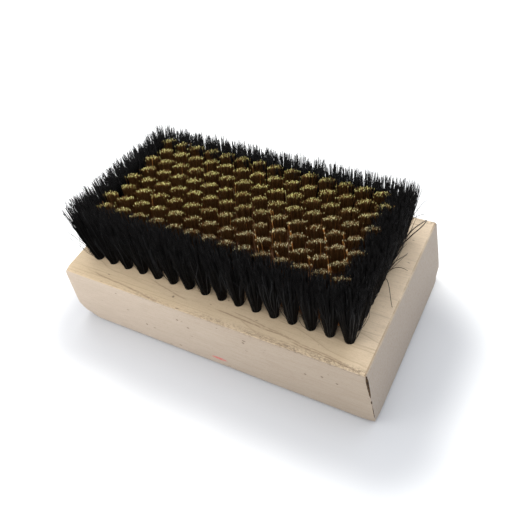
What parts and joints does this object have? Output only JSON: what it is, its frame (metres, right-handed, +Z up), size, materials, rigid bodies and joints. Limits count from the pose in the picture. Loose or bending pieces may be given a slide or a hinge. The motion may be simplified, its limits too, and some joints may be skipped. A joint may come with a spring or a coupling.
{
  "type": "suede brush",
  "caption": "Suede brush: a plain rectangular wooden block set with rows of stiff brass wire tufts inside a ring of black bristle tufts.",
  "frame": {"origin": "middle of the block's flat back, which the brush lies on", "axes": "+X along the block's length, +Y across its width, +Z up from the back towards the bristle tips"},
  "size_m": [0.109, 0.06, 0.045],
  "materials": {
    "wood": "unfinished pale hardwood, sanded, fine straight grain, matt",
    "black_bristle": "black bristle hair, soft sheen along the strands",
    "brass_wire": "fine brass wire, cut tips bright, shanks dulled",
    "anchor_wire": "flat drawn anchor wire, hidden in the tuft holes"
  },
  "bodies": {
    "root": {"wood_block": "wood", "black_tufts_front": "black_bristle", "black_tufts_back": "black_bristle", "black_tufts_left_end": "black_bristle", "black_tufts_right_end": "black_bristle", "brass_tufts_row_1": "brass_wire", "brass_tufts_row_2": "brass_wire", "brass_tufts_row_3": "brass_wire", "brass_tufts_row_4": "brass_wire", "brass_tufts_row_5": "brass_wire", "brass_tufts_row_6": "brass_wire", "brass_tufts_row_7": "brass_wire", "brass_tufts_row_8": "brass_wire", "anchors_row_1": "anchor_wire", "anchors_row_2": "anchor_wire", "anchors_row_3": "anchor_wire", "anchors_row_4": "anchor_wire", "anchors_row_5": "anchor_wire", "anchors_row_6": "anchor_wire", "anchors_row_7": "anchor_wire", "anchors_row_8": "anchor_wire", "anchors_row_9": "anchor_wire", "anchors_row_10": "anchor_wire"}
  },
  "joints": []
}
